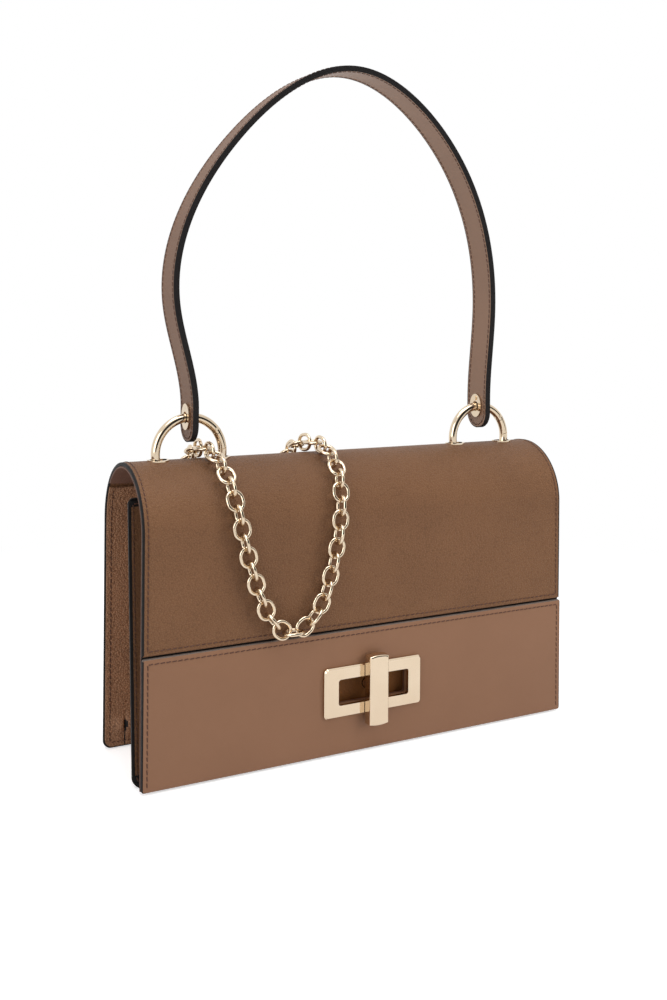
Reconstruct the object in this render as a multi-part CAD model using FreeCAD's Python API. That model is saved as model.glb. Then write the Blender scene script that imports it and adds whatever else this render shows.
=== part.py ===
"""Chain shoulder bag: leather flap bag with a turn lock, a ring hung handle and a chain strap.

Millimetres. +Z is up, +X runs along the bag's width and the flap faces -Y.
The origin is on the floor under the middle of the bag.
"""
import FreeCAD, Part
import math
import os

V = FreeCAD.Vector
X_AXIS, Y_AXIS, Z_AXIS = V(1, 0, 0), V(0, 1, 0), V(0, 0, 1)

# Body and its layers
body_width = 280.0
body_depth = 72.0
crest_height = 172.0
leather = 1.6
stiffener = 0.6
lining = 1.0
panel_corner = 5.0
fit_gap = 0.3
hole_gap = 0.05

# Front wall, which leans back towards the mouth
front_top = 154.0
front_setback = 11.5
front_top_setback = 23.0
front_overhang = 1.0

# Folded side walls and the base
gusset_leather = 1.4
gusset_flange = 6.0
gusset_fold = 21.0
gusset_edge = 0.5
gusset_low = 0.6
lining_inset = 12.0
lining_gap = 2.5
base_height = 2.0
base_leather = 1.4
base_board = 1.6
board_inset = 7.0

# Inner slip pocket
pocket_width = 120.0
pocket_low = 40.0
pocket_high = 120.0
pocket_leather = 1.2

# Flap, which turns at a fold behind the crest
fold_angle = -50.0
flap_hem = 1.5
seam_height = 72.3
seam_gap = 1.6
lower_panel_leather = 2.6
lower_panel_corner = 3.0
stiffener_inset = 2.0

# Turn lock
lock_height = 37.7
frame_width = 65.0
frame_height = 29.0
frame_metal = 2.4
frame_corner = 2.5
frame_bevel = 0.8
window_width = 47.0
window_height = 15.0
window_corner = 1.5
backing_metal = 1.2
backing_inset = 1.2
screw_radius = 1.0
screw_head_radius = 1.9
screw_head = 0.8
screw_inset = 4.2
screw_bite = 1.5
toggle_length = 41.0
toggle_width = 12.6
toggle_depth = 6.1
toggle_gap = 0.5
toggle_round = 1.2
toggle_end_rise = 0.8
spindle_radius = 3.0
spindle_gap = 0.04
spindle_bite = 3.0
spindle_tail = 0.8
lock_plate_width = 26.0
lock_plate_height = 22.0
lock_plate_metal = 1.4
lock_back_metal = 1.2
boss_radius = 4.5
boss_front_gap = 8.6
spindle_way = 4.2
rivet_radius = 1.2
rivet_head_radius = 2.0
rivet_head = 0.7
rivet_inset = 3.6
clip_radius = 5.0
clip_metal = 0.8
pad_width = 58.0
pad_height = 26.0
pad_corner = 4.0
pad_gap = 0.6
pad_skin = 1.5

# Gate rings that stand through the crest
ring_inset = 39.0
ring_outer = 45.8
ring_wire = 5.2
ring_rise = 3.6
gate_pivot_angle = 40.0
gate_span = 35.5
gate_gap = 0.3
tongue = 2.0
pin_radius = 0.9
pin_proud = 0.15

# Eyelets round the rings' legs
slot_length = 10.0
slot_width = 7.6
slot_offset = 18.6
eyelet_wall = 0.6
eyelet_rim = 0.8
eyelet_flange = 0.7
eyelet_washer = 0.8

# Carrying handle
handle_width = 21.0
handle_leather = 1.4
handle_core = 0.6
handle_tip_drop = 14.2
handle_hole = 3.3
handle_tube = 0.6
handle_plate = 0.8
handle_plate_width = 11.8
handle_plate_height = 15.2
handle_plate_shift = 0.4
handle_screw = 0.8
handle_screw_head = 1.4
handle_screw_rise = 5.2
handle_apex_x = 4.5
handle_apex_rise = 209.4
handle_shoulder_x = 75.0
handle_shoulder_rise = 163.0
handle_bow_rise = 65.0
handle_bow_left = 11.6
handle_bow_right = 3.6

# Chain
chain_wire = 2.1
link_width = 11.2
link_inner_length = 8.6
link_pitch = 8.2
link_gap = 0.3
chain_lift = 0.4
chain_drawn_width = 280.0

# Loops on the back that hold the chain's ends
tab_x = 112.0
tab_width = 11.0
tab_leather = 1.4
tab_low = 113.0
tab_high = 131.0
tab_corner = 3.0
tab_rivet = 1.4
tab_rivet_head = 3.2
tab_rivet_rise = 11.0
tab_rivet_cap = 0.9
dee_half = 7.0
dee_side = 4.0
dee_tilt = 17.0
dee_gap = 0.15

# Places that follow from the sizes above
arch_radius = body_depth / 2
lock_reach = lower_panel_leather - leather + frame_metal + toggle_gap + toggle_depth
arch_y = lock_reach / 2
arch_z = crest_height - arch_radius
back_y = arch_y + arch_radius
flap_y = arch_y - arch_radius
half_width = body_width / 2
layers = leather + stiffener + lining
lower_face = flap_y + leather - lower_panel_leather
flap_inside = flap_y + layers
ring_radius = (ring_outer - ring_wire) / 2
ring_x = half_width - ring_inset
ring_z = crest_height + ring_rise
ring_top = ring_z + ring_radius
chain_radius = arch_radius + link_width / 2 + chain_lift
chain_quarter = chain_radius * math.pi / 2
fold_y = arch_y - chain_radius * math.sin(math.radians(fold_angle))
fold_z = arch_z + chain_radius * math.cos(math.radians(fold_angle))
clear_above = crest_height + ring_outer
tab_loop = chain_wire / 2 + dee_gap + tab_leather


def write(node, solids):
    """Store one node, a single solid or a group of separate solids."""
    shape = solids[0] if len(solids) == 1 else Part.makeCompound(solids)
    shape.exportStep("parts/" + node + ".step")


def line(a, b):
    return Part.LineSegment(a, b).toShape()


def cylinder_x(radius, y, z, x0, x1):
    return Part.makeCylinder(radius, x1 - x0, V(x0, y, z), X_AXIS)


def cylinder_y(radius, x, z, y0, y1):
    return Part.makeCylinder(radius, y1 - y0, V(x, y0, z), Y_AXIS)


def arch_point(radius, angle, x):
    """A point on the arch, at an angle from the crest that grows towards the front."""
    a = math.radians(angle)
    return V(x, arch_y - radius * math.sin(a), arch_z + radius * math.cos(a))


def arch_arc(radius, start, end, x):
    ends = [arch_point(radius, angle, x) for angle in (start, (start + end) / 2, end)]
    return Part.Arc(*ends).toShape()


def wrap_sheet(outer, inner, start, end, foot, width):
    """A sheet round the arch from start to its upright end, then straight down to foot."""
    x = -width / 2
    outer_end, inner_end = arch_point(outer, end, x), arch_point(inner, end, x)
    outer_foot, inner_foot = V(x, outer_end.y, foot), V(x, inner_end.y, foot)
    edges = [
        arch_arc(outer, start, end, x), line(outer_end, outer_foot), line(outer_foot, inner_foot),
        line(inner_foot, inner_end), arch_arc(inner, end, start, x),
        line(arch_point(inner, start, x), arch_point(outer, start, x)),
    ]
    return Part.Face(Part.Wire(edges)).extrude(X_AXIS * width)


def arch_shell(inner, outer):
    """The pipe between two radii about the arch's axis, along the whole width."""
    return cylinder_x(outer, arch_y, arch_z, -half_width, half_width).cut(
        cylinder_x(inner, arch_y, arch_z, -half_width, half_width)
    )


def rounded_slab(width, height, radius, y0, y1, centre_z):
    """A plate in the XZ plane with rounded corners, from y0 to y1."""
    plate = Part.makeBox(width, y1 - y0, height, V(-width / 2, y0, centre_z - height / 2))
    deep = (y1 - y0) / 2
    upright = [e for e in plate.Edges if abs(e.Vertexes[0].Point.y - e.Vertexes[-1].Point.y) > deep]
    return plate.makeFillet(radius, upright)


def stadium(length, width, x):
    """An upright prism with round ends along X, above the arch's axis."""
    half, r = (length - width) / 2, width / 2
    tall = clear_above - arch_z
    solid = Part.makeBox(2 * half, width, tall, V(x - half, arch_y - r, arch_z))
    ends = [Part.makeCylinder(r, tall, V(x + side * half, arch_y, arch_z), Z_AXIS) for side in (-1, 1)]
    return solid.fuse(ends).removeSplitter()


def slot_places(ring):
    return [ring * ring_x - slot_offset, ring * ring_x + slot_offset]


def make_back():
    """The back wall in three layers, up to the flap's fold, with a slip pocket on its lining."""
    trim = rounded_slab(body_width, 2 * crest_height, panel_corner, -body_depth, body_depth, crest_height)
    panel = wrap_sheet(arch_radius, arch_radius - leather, fold_angle, -90, 0, body_width)
    for x in (-tab_x, tab_x):
        panel = panel.cut(cylinder_y(tab_rivet + hole_gap, x, tab_low + tab_rivet_rise, 0, body_depth))
    write("back_panel", [panel.common(trim)])
    inner_width = body_width - 2 * (gusset_edge + gusset_fold + lining_gap)
    under = arch_radius - leather
    write("back_stiffener", [
        wrap_sheet(under, under - stiffener, fold_angle, -90, base_height, inner_width)
    ])
    write("back_lining", [
        wrap_sheet(under - stiffener, arch_radius - layers, fold_angle, -90, base_height, inner_width)
    ])
    pocket_y = back_y - layers
    pocket = rounded_slab(
        pocket_width, pocket_high - pocket_low, panel_corner,
        pocket_y - pocket_leather, pocket_y, (pocket_low + pocket_high) / 2,
    )
    write("slip_pocket", [pocket])


def front_y(z):
    """The front wall's outer face at a height."""
    return flap_y + front_setback + (front_top_setback - front_setback) * z / front_top


def lean_slab(near, far, low, high, width):
    """A leaning sheet between two depths behind the front wall's outer face."""
    x = -width / 2
    corners = [
        V(x, front_y(low) + near, low), V(x, front_y(high) + near, high),
        V(x, front_y(high) + far, high), V(x, front_y(low) + far, low),
    ]
    return Part.Face(Part.makePolygon(corners + corners[:1])).extrude(X_AXIS * width)


def front_lean():
    return math.atan2(front_top_setback - front_setback, front_top)


def onto_front(shape):
    """Lean a lock piece, drawn upright about the origin, onto the front wall's outer face."""
    placed = shape.copy()
    placed.rotate(V(0, 0, 0), X_AXIS, -math.degrees(front_lean()))
    placed.translate(V(0, front_y(lock_height), lock_height))
    return placed


def rivet_places():
    x, z = lock_plate_width / 2 - rivet_inset, lock_plate_height / 2 - rivet_inset
    return [(sx * x, sz * z) for sx in (-1, 1) for sz in (-1, 1)]


def rivet_holes():
    reach = lock_plate_width
    return onto_front(Part.makeCompound([
        cylinder_y(rivet_radius + hole_gap, x, z, -reach, reach) for x, z in rivet_places()
    ]))


def make_front():
    """The leaning front wall in three layers, pierced for the lock's spindle and rivets."""
    cuts = cylinder_y(spindle_way, 0, lock_height, flap_y, back_y).fuse(rivet_holes())
    wide = body_width + 2 * front_overhang
    trim = rounded_slab(wide, 2 * crest_height, panel_corner, flap_y, back_y, crest_height)
    write("front_panel", [lean_slab(0, leather, 0, front_top, wide).common(trim).cut(cuts)])
    inner_width = body_width - 2 * lining_inset
    depth = leather + stiffener
    write("front_stiffener", [lean_slab(leather, depth, base_height, front_top, inner_width).cut(cuts)])
    write("front_lining", [lean_slab(depth, layers, base_height, front_top, inner_width).cut(cuts)])


def fold_line(z, inset):
    """The left side wall's folded line at a height; a positive inset lies nearer the bag's inside."""
    edge = gusset_edge - half_width
    back = back_y - leather - gusset_leather / 2
    front = front_y(z) + leather + gusset_leather / 2
    apex, turn = V(edge + gusset_fold, back, z), V(edge + gusset_flange, front, z)
    along = (turn - apex).normalize()
    normals = [Y_AXIS, Z_AXIS.cross(along), -Y_AXIS]
    corners = []
    for place, near, far in ((apex, *normals[:2]), (turn, *normals[1:])):
        corners.append(place + (near + far) * (inset / (1 + near.dot(far))))
    return [V(edge, back + inset, z)] + corners + [V(edge, front - inset, z)]


def gusset_outline(z):
    outside, inside = fold_line(z, -gusset_leather / 2), fold_line(z, gusset_leather / 2)
    points = outside + inside[::-1]
    return Part.makePolygon(points + points[:1])


def make_sides():
    """The side walls: the rear half lies on the back wall and folds at its inner end to the front wall."""
    under = arch_radius - leather
    trim = rounded_slab(
        body_width - 2 * gusset_edge, 2 * crest_height, panel_corner - gusset_edge,
        -body_depth, body_depth, crest_height + gusset_low,
    )
    room = Part.makeBox(body_width, 2 * body_depth, arch_z, V(-half_width, -body_depth, 0))
    room = room.fuse(cylinder_x(under, arch_y, arch_z, -half_width, half_width))
    wall = Part.makeLoft([gusset_outline(gusset_low), gusset_outline(front_top)], True, True).common(room)
    top_angle = -math.degrees(math.acos((front_top - arch_z) / under))
    flange = wrap_sheet(
        under, under - gusset_leather, top_angle, -90, arch_z - gusset_flange, gusset_fold
    )
    flange.translate(V(gusset_edge - half_width + gusset_fold / 2, 0, 0))
    left = wall.fuse(flange).common(trim).removeSplitter().Solids[0]
    write("left_gusset", [left])
    write("right_gusset", [left.mirror(V(0, 0, 0), X_AXIS)])


def make_base():
    """The base, notched at both ends round the side walls' folds, with a stiff board on it."""
    left = fold_line(base_height, gusset_leather / 2 + fit_gap)[1:3]
    right = [V(-p.x, p.y, p.z) for p in left[::-1]]
    face = Part.Face(Part.makePolygon(left + right + left[:1]))
    y0 = front_y(base_height + base_leather) + layers + fit_gap
    y1 = back_y - layers - fit_gap
    room = Part.makeBox(body_width, y1 - y0, crest_height, V(-half_width, y0, 0))
    write("base_panel", [face.extrude(Z_AXIS * base_leather).common(room)])
    x0 = left[0].x + board_inset
    board = Part.makeBox(
        -2 * x0, y1 - y0 - 2 * board_inset, base_board, V(x0, y0 + board_inset, base_height + base_leather)
    )
    write("base_board", [board])


def frame_screw_places():
    x, z = frame_width / 2 - screw_inset, frame_height / 2 - screw_inset
    return [(sx * x, lock_height + sz * z) for sx in (-1, 1) for sz in (-1, 1)]


def frame_screw_holes(front):
    return Part.makeCompound([
        cylinder_y(screw_radius + hole_gap, x, z, front, back_y) for x, z in frame_screw_places()
    ])


def lock_window():
    return rounded_slab(window_width, window_height, window_corner, -body_depth, 0, lock_height)


def make_flap():
    """The flap in front of its fold: upper leather, lower panel, stiffener and lining."""
    start = fold_angle + math.degrees(fit_gap / arch_radius)
    grow = 2 * (eyelet_wall + hole_gap)
    slots = Part.makeCompound([
        stadium(slot_length + grow, slot_width + grow, x) for ring in (-1, 1) for x in slot_places(ring)
    ])
    window, screws = lock_window(), frame_screw_holes(-body_depth)
    under = arch_radius - leather
    upper = wrap_sheet(arch_radius, under, start, 90, seam_height + seam_gap / 2, body_width)
    write("flap_upper", [upper.cut(slots)])
    stiff = wrap_sheet(under, under - stiffener, start, 90, flap_hem, body_width - 2 * stiffener_inset)
    write("flap_stiffener", [stiff.cut(slots).cut(window).cut(screws)])
    sheet = wrap_sheet(under - stiffener, arch_radius - layers, start, 90, flap_hem, body_width)
    write("flap_lining", [sheet.cut(slots).cut(window).cut(screws)])
    high = seam_height - seam_gap / 2
    lower = rounded_slab(
        body_width, high - flap_hem, lower_panel_corner, lower_face, flap_y + leather, (high + flap_hem) / 2
    )
    write("flap_lower_panel", [lower.cut(window).cut(screws)])


def front_edges(solid, limit):
    return [e for e in solid.Edges if max(v.Point.y for v in e.Vertexes) < limit]


def make_lock_frame():
    """The bevelled frame round the flap's window, screwed through the leather to a backing plate."""
    front = lower_face - frame_metal
    plate = rounded_slab(frame_width, frame_height, frame_corner, front, lower_face, lock_height)
    plate = plate.makeChamfer(frame_bevel, front_edges(plate, front + frame_metal / 2))
    window = lock_window()
    write("lock_frame", [plate.cut(window).cut(frame_screw_holes(lower_face - screw_bite))])
    backing = rounded_slab(
        frame_width - 2 * backing_inset, frame_height - 2 * backing_inset, frame_corner,
        flap_inside, flap_inside + backing_metal, lock_height,
    )
    write("lock_frame_backing", [backing.cut(window).cut(frame_screw_holes(-body_depth))])
    head_y = flap_inside + backing_metal
    screws = []
    for x, z in frame_screw_places():
        shank = cylinder_y(screw_radius, x, z, lower_face - screw_bite + hole_gap, head_y)
        head = cylinder_y(screw_head_radius, x, z, head_y, head_y + screw_head)
        screws.append(shank.fuse(head).removeSplitter())
    write("lock_frame_screws", screws)


def make_lock():
    """The lock on the front wall: a riveted base with a bearing, and the toggle on its spindle."""
    wall_y = front_y(lock_height)
    plate = rounded_slab(lock_plate_width, lock_plate_height, frame_corner, -lock_plate_metal, 0, 0)
    boss = cylinder_y(
        boss_radius, 0, lock_height, lower_face + boss_front_gap, wall_y - lock_plate_metal / 2
    )
    bore = cylinder_y(spindle_radius + spindle_gap, 0, lock_height, -body_depth, back_y)
    holes = rivet_holes()
    write("lock_base", [onto_front(plate).fuse(boss).removeSplitter().cut(bore).cut(holes)])
    room = lock_plate_metal + rivet_head + fit_gap
    hollow = onto_front(rounded_slab(
        lock_plate_width + 2 * fit_gap, lock_plate_height + 2 * fit_gap, frame_corner, -room, room, 0
    ))
    pad_face = flap_inside + backing_metal + screw_head + pad_gap
    pad = rounded_slab(pad_width, pad_height, pad_corner, pad_face, 0, lock_height)
    behind_wall = lean_slab(0, body_depth, lock_height - pad_height, lock_height + pad_height, body_width)
    boss_way = cylinder_y(boss_radius + fit_gap, 0, lock_height, pad_face + pad_skin, back_y)
    boss_way = boss_way.fuse(cylinder_y(spindle_radius + fit_gap, 0, lock_height, -body_depth, back_y))
    write("lock_pad", [pad.cut(behind_wall).cut(hollow).cut(boss_way).Solids[0]])
    behind = layers * math.cos(front_lean())
    rear = behind + lock_back_metal
    back = rounded_slab(lock_plate_width, lock_plate_height, frame_corner, behind, rear, 0)
    way = cylinder_y(spindle_way, 0, lock_height, -body_depth, back_y)
    write("lock_back_plate", [onto_front(back).cut(way).cut(holes)])
    rivets = []
    for x, z in rivet_places():
        rivet = cylinder_y(rivet_radius, x, z, -lock_plate_metal, rear).fuse([
            cylinder_y(rivet_head_radius, x, z, -lock_plate_metal - rivet_head, -lock_plate_metal),
            cylinder_y(rivet_head_radius, x, z, rear, rear + rivet_head),
        ])
        rivets.append(onto_front(rivet.removeSplitter()))
    write("lock_rivets", rivets)

    bar_back = lower_face - frame_metal - toggle_gap
    bar = toggle_face(bar_back).extrude(V(0, -toggle_depth, 0))
    bar = bar.makeFillet(toggle_round, front_edges(bar, bar_back - toggle_depth / 2))
    bite = bar_back - spindle_bite
    write("toggle_bar", [bar.cut(cylinder_y(spindle_radius + hole_gap, 0, lock_height, bite, back_y))])
    clip_y = wall_y + rear / math.cos(front_lean()) + clip_radius * math.tan(front_lean()) + fit_gap
    write("toggle_spindle", [
        cylinder_y(spindle_radius, 0, lock_height, bite, clip_y + clip_metal + spindle_tail)
    ])
    clip = cylinder_y(clip_radius, 0, lock_height, clip_y, clip_y + clip_metal)
    write("spindle_clip", [clip.cut(cylinder_y(spindle_radius + hole_gap, 0, lock_height, flap_y, back_y))])


def toggle_face(y):
    """The toggle's outline: straight sides and gently arched ends."""
    w, h = toggle_width / 2, toggle_length / 2
    low, high = lock_height - h, lock_height + h
    a, b = V(-w, y, low + toggle_end_rise), V(w, y, low + toggle_end_rise)
    c, d = V(w, y, high - toggle_end_rise), V(-w, y, high - toggle_end_rise)
    return Part.Face(Part.Wire([
        Part.Arc(a, V(0, y, low), b).toShape(), line(b, c),
        Part.Arc(c, V(0, y, high), d).toShape(), line(d, a),
    ]))


def make_eyelets(name, ring):
    """Flanged eyelets in the crest for a ring's legs, closed by washers under the lining."""
    inside = arch_radius - layers
    eyelets, washers = [], []
    for x in slot_places(ring):
        bore, barrel, way, rim = [
            stadium(slot_length + 2 * grow, slot_width + 2 * grow, x)
            for grow in (0, eyelet_wall, eyelet_wall + hole_gap, eyelet_wall + eyelet_rim)
        ]
        tube = arch_shell(inside - eyelet_washer, arch_radius + eyelet_flange).common(barrel)
        flange = arch_shell(arch_radius, arch_radius + eyelet_flange).common(rim)
        eyelets.append(tube.fuse(flange).cut(bore).removeSplitter().Solids[0])
        washers.append(arch_shell(inside - eyelet_washer, inside).common(rim).cut(way).Solids[0])
    write(name + "_eyelets", eyelets)
    write(name + "_eyelet_washers", washers)


def make_ring(name, ring):
    """A ring of round wire with a hinged gate, whose tongue turns on a pin between two cheeks."""
    centre = V(ring * ring_x, arch_y, ring_z)
    torus = Part.makeTorus(ring_radius, ring_wire / 2, centre, Y_AXIS)
    turn = math.radians(gate_pivot_angle)
    pivot = centre + V(math.cos(turn), 0, math.sin(turn)) * ring_radius
    reach = 2 * ring_radius * math.sin(math.radians(gate_span) / 2)
    knuckle = ring_wire / 2 + gate_gap

    def about_pivot(radius, half):
        return cylinder_y(radius, pivot.x, pivot.z, arch_y - half, arch_y + half)

    # The gate's side of the line from the ring's centre to its pivot
    side = Part.makeBox(ring_outer, ring_outer, ring_outer, V(0, -ring_outer / 2, -ring_outer))
    side.rotate(V(0, 0, 0), Y_AXIS, -gate_pivot_angle)
    side.translate(centre)
    sector = torus.common(side)
    cheek, thin = tongue / 2, tongue / 2 - gate_gap / 2
    gate = sector.common(about_pivot(reach - gate_gap / 2, ring_wire))
    gate = gate.cut(about_pivot(knuckle, ring_wire))
    web = sector.common(about_pivot(knuckle + gate_gap, thin))
    hub = torus.common(about_pivot(knuckle - gate_gap, thin))
    bearing = about_pivot(pin_radius + hole_gap, ring_wire)
    write(name + "_gate", [gate.fuse([web, hub]).cut(bearing).removeSplitter().Solids[0]])
    room = about_pivot(reach + gate_gap / 2, ring_wire).common(side)
    room = room.cut(about_pivot(knuckle - gate_gap, ring_wire))
    fork = about_pivot(knuckle + gate_gap / 2, cheek)
    seat = about_pivot(pin_radius + hole_gap / 2, ring_wire)
    write(name + "_ring", [torus.cut(room).cut(fork).cut(seat).Solids[0]])
    write(name + "_gate_pin", [about_pivot(pin_radius, ring_wire / 2 + pin_proud)])


def handle_line():
    """The handle's middle line, from its left tip over the apex to its right tip."""
    tip, seat = ring_top - handle_tip_drop, ring_top + handle_plate_height / 2
    points = [
        (-ring_x, tip), (-ring_x, ring_top), (-ring_x, seat),
        (-ring_x - handle_bow_left, ring_top + handle_bow_rise),
        (-handle_shoulder_x, ring_top + handle_shoulder_rise),
        (handle_apex_x, ring_top + handle_apex_rise),
        (handle_shoulder_x, ring_top + handle_shoulder_rise),
        (ring_x + handle_bow_right, ring_top + handle_bow_rise),
        (ring_x, seat), (ring_x, ring_top), (ring_x, tip),
    ]
    curve = Part.BSplineCurve()
    curve.interpolate([V(x, arch_y - handle_width / 2, z) for x, z in points])
    return curve


def offset_edge(curve, offset):
    """An edge beside a curve in the XZ plane; positive offsets lie outside the handle's arch."""
    steps = 40
    first, last = curve.FirstParameter, curve.LastParameter
    points = []
    for k in range(steps + 1):
        u = first + (last - first) * k / steps
        along = curve.tangent(u)[0]
        points.append(curve.value(u) + V(-along.z, 0, along.x) * offset)
    beside = Part.BSplineCurve()
    beside.interpolate(points)
    return beside.toShape()


def strap_layer(curve, near, far):
    a, b = offset_edge(curve, near), offset_edge(curve, far)
    starts = line(a.Vertexes[0].Point, b.Vertexes[0].Point)
    ends = line(a.Vertexes[-1].Point, b.Vertexes[-1].Point)
    wire = Part.Wire(Part.__sortEdges__([a, ends, b, starts]))
    return Part.Face(wire).extrude(Y_AXIS * handle_width)


def handle_plate_solid(x, thickness):
    """An oval plate on the handle's face."""
    centre = V(x, arch_y, ring_top + handle_plate_shift)
    tall, wide = Z_AXIS * (handle_plate_height / 2), Y_AXIS * (handle_plate_width / 2)
    oval = Part.Ellipse(centre + tall, centre + wide, centre).toShape()
    return Part.Face(Part.Wire(oval)).extrude(V(thickness, 0, 0))


def make_handle():
    """A three layer leather handle with round ends, hung on the rings by plated eyelets."""
    curve = handle_line()
    reach = ring_x + handle_width
    end_z = ring_top - handle_tip_drop + handle_width / 2
    trim = cylinder_x(handle_width / 2, arch_y, end_z, -reach, reach).fuse(Part.makeBox(
        2 * reach, handle_width, 2 * handle_apex_rise, V(-reach, arch_y - handle_width / 2, end_z)
    ))
    screw_z = ring_top + handle_screw_rise
    screw_way = cylinder_x(handle_screw + hole_gap, arch_y, screw_z, -reach, reach)
    cuts = cylinder_x(handle_hole + handle_tube + hole_gap, arch_y, ring_top, -reach, reach).fuse(screw_way)
    inside = handle_core / 2
    for node, near, far in (
        ("handle_lining", -inside - handle_leather, -inside),
        ("handle_core", -inside, inside),
        ("handle_outer", inside, inside + handle_leather),
    ):
        write(node, [strap_layer(curve, near, far).common(trim).cut(cuts)])

    half = inside + handle_leather + fit_gap
    screws = []
    for ring, name in ((-1, "left"), (1, "right")):
        x = ring * ring_x
        bore = cylinder_x(handle_hole, arch_y, ring_top, -reach, reach)
        tube = cylinder_x(handle_hole + handle_tube, arch_y, ring_top, x - half, x + half)
        inner = handle_plate_solid(x - ring * half, -ring * handle_plate).fuse(tube).removeSplitter()
        outer = handle_plate_solid(x + ring * half, ring * handle_plate)
        write(name + "_handle_plate", [inner.cut(bore).cut(screw_way)])
        write(name + "_handle_washer", [outer.cut(bore).cut(screw_way)])
        low, high = x - half - handle_plate, x + half + handle_plate
        head = low - screw_head if ring > 0 else high
        shank = cylinder_x(handle_screw, arch_y, screw_z, low, high)
        screws.append(shank.fuse(
            cylinder_x(handle_screw_head, arch_y, screw_z, head, head + screw_head)
        ).removeSplitter())
    write("handle_screws", screws)


def drape(x, run):
    """The chain's middle at x, a run past the crest that grows towards the front, and its normal."""
    if abs(run) <= chain_quarter:
        a = run / chain_radius
        normal = V(0, -math.sin(a), math.cos(a))
        return V(x, arch_y, arch_z) + normal * chain_radius, normal
    side = -1 if run > 0 else 1
    return V(x, arch_y + side * chain_radius, arch_z - (abs(run) - chain_quarter)), V(0, side, 0)


def link_solid(inner_length, inner_width, wire):
    """One oval link in the XY plane, its length along X."""
    bend, half, r = (inner_width + wire) / 2, (inner_length - inner_width) / 2, wire / 2
    pieces = []
    for side in (-1, 1):
        pieces.append(Part.makeCylinder(r, 2 * half, V(-half, side * bend, 0), X_AXIS))
        disc = Part.Face(Part.Wire(Part.makeCircle(r, V(side * half, -bend, 0), X_AXIS)))
        pieces.append(disc.revolve(V(side * half, 0, 0), Z_AXIS, side * 180))
    return pieces[0].fuse(pieces[1:]).removeSplitter()


def place_link(link, centre, along, normal, flat):
    """Set a link on the chain's line, lying on the leather or standing on its edge."""
    across = normal.cross(along).normalize()
    up = along.cross(across)
    side, top = (across, up) if flat else (up, across * -1)
    placed = link.copy()
    placed.Placement = FreeCAD.Placement(FreeCAD.Matrix(
        along.x, side.x, top.x, centre.x,
        along.y, side.y, top.y, centre.y,
        along.z, side.z, top.z, centre.z,
        0, 0, 0, 1,
    ))
    return placed


def chain_links(route, first_flat, last_flat):
    """Links spread evenly along a route of (x, run) points; a flat end link turns on the flap's fold."""
    curve = Part.BSplineCurve()
    curve.interpolate([V(x, run, 0) for x, run in route])
    length = curve.length()
    count = math.ceil(length / link_pitch)
    if (count % 2 == 1) != (first_flat == last_flat):
        count += 1
    nodes = []
    for k in range(count + 1):
        place = curve.value(curve.parameterAtDistance(length * k / count, curve.FirstParameter))
        nodes.append(drape(place.x, place.y))
    link = link_solid(link_inner_length, link_width - 2 * chain_wire, chain_wire)
    half = (link_inner_length + chain_wire) / 2
    links = []
    for k in range(count):
        (a, a_normal), (b, b_normal) = nodes[k], nodes[k + 1]
        centre, along = (a + b) / 2, (b - a).normalize()
        flat = (k % 2 == 0) == first_flat
        turning = {0: -1, count - 1: 1}.get(k) if flat else None
        if turning:
            hook = centre + along * (turning * half)
            centre = centre + V(0, fold_y - hook.y, fold_z - hook.z)
        links.append(place_link(link, centre, along, a_normal + b_normal, flat))
    print("chain run", round(length, 1), "mm,", count, "links, spacing", round(length / count, 3))
    return links


def across(points):
    """A route drawn on a bag of the drawn width, spread to this bag's width."""
    return [(x * body_width / chain_drawn_width, run) for x, run in points]


def make_chain():
    """The chain strap: a loop drawn over the crest to the front, two runs behind that end on the dees."""
    fold = chain_radius * math.radians(fold_angle) + (chain_wire + link_gap) / 2
    front = [
        (-91.0, fold), (-92.2, -22), (-93.0, -9), (-92.6, 2), (-91.6, 14), (-90.6, 26), (-89.4, 40),
        (-87.6, 54), (-84.9, 68), (-81.3, 82), (-76.9, 96), (-71.2, 110), (-63.0, 121.6), (-54.4, 125.6),
        (-45.8, 121.8), (-37.4, 112.6), (-31.9, 99), (-28.2, 85), (-25.3, 70), (-23.4, 54), (-21.0, 38),
        (-20.0, 20), (-21.0, 4), (-23.6, -8), (-25.4, -20), (-26.0, fold),
    ]
    write("chain_front", chain_links(across(front), True, True))
    hook = dee_foot().z + (chain_wire + link_gap / 2) / 2
    end_run = arch_z - hook + chain_quarter
    left_back = [
        (-91.0, fold), (-89.6, -60), (-87.6, -92), (-88.6, -116), (-100.4, -130), (-111.4, -116),
    ]
    right_back = [
        (-26.0, fold), (-24.0, -60), (-17.0, -90), (-3.0, -115), (20.0, -131), (48.0, -137),
        (76.0, -131), (97.0, -119), (108.6, -108.6),
    ]
    write("chain_back_left", chain_links(across(left_back) + [(-tab_x, -end_run)], False, False))
    write("chain_back_right", chain_links(across(right_back) + [(tab_x, -end_run)], False, False))


def dee_foot():
    """The middle of the wire at the foot of a dee's bow."""
    drop, a = dee_side + dee_half, math.radians(dee_tilt)
    return V(0, back_y + tab_loop + drop * math.sin(a), tab_low - drop * math.cos(a))


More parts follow.
